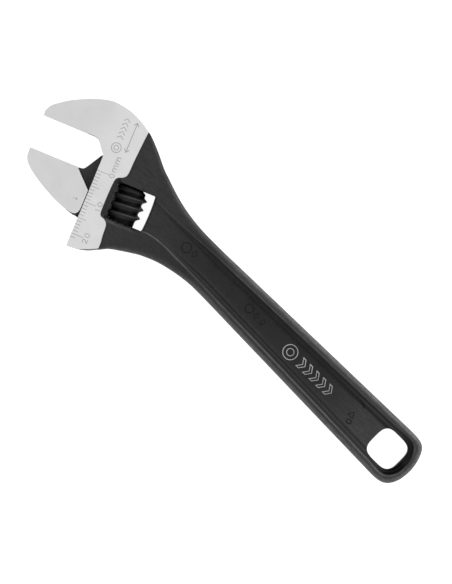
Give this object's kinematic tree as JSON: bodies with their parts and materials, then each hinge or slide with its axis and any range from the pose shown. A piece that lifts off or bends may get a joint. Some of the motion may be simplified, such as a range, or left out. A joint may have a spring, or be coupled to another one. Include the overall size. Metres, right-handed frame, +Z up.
{
  "type": "adjustable wrench",
  "caption": "Adjustable wrench with an angled head, a worm-driven sliding jaw, a millimetre scale on the head and an I-section handle with a hang hole.",
  "frame": {"origin": "middle of the base of the bounding box, as the wrench lies flat with its jaws part open", "axes": "+X along the handle from the jaws to the hang hole, +Y towards the side of the fixed jaw, +Z up out of the upper flat face"},
  "size_m": [0.1516, 0.0418, 0.011],
  "materials": {
    "black_steel": "matt black phosphate on forged steel, with ground satin faces on the head",
    "ground_steel": "fine satin ground steel, black on the neck and rack",
    "black_worm": "satin black oxide",
    "pin_steel": "plain turned steel",
    "spring_steel": "oiled spring wire"
  },
  "bodies": {
    "wrench": {"body": "black_steel", "worm_pin": "pin_steel", "worm_spring": "spring_steel"},
    "jaw": {"movable_jaw": "ground_steel"},
    "worm": {"worm": "black_worm"}
  },
  "joints": [
    {"name": "worm_spin", "type": "hinge", "parent": "wrench", "child": "worm", "pos_m": [-0.03887, 0.00024, 0.0055], "axis": [-0.3827, 0.9239, 0], "range_deg": [-1354.7, 1301.4]},
    {"name": "jaw_slide", "type": "slide", "parent": "wrench", "child": "jaw", "axis": [0.3827, -0.9239, 0], "range_m": [-0.01016, 0.00976]}
  ],
  "couplings": [
    {"joint": "worm_spin", "follows": "jaw_slide", "rad_per_m": 2327.1}
  ]
}
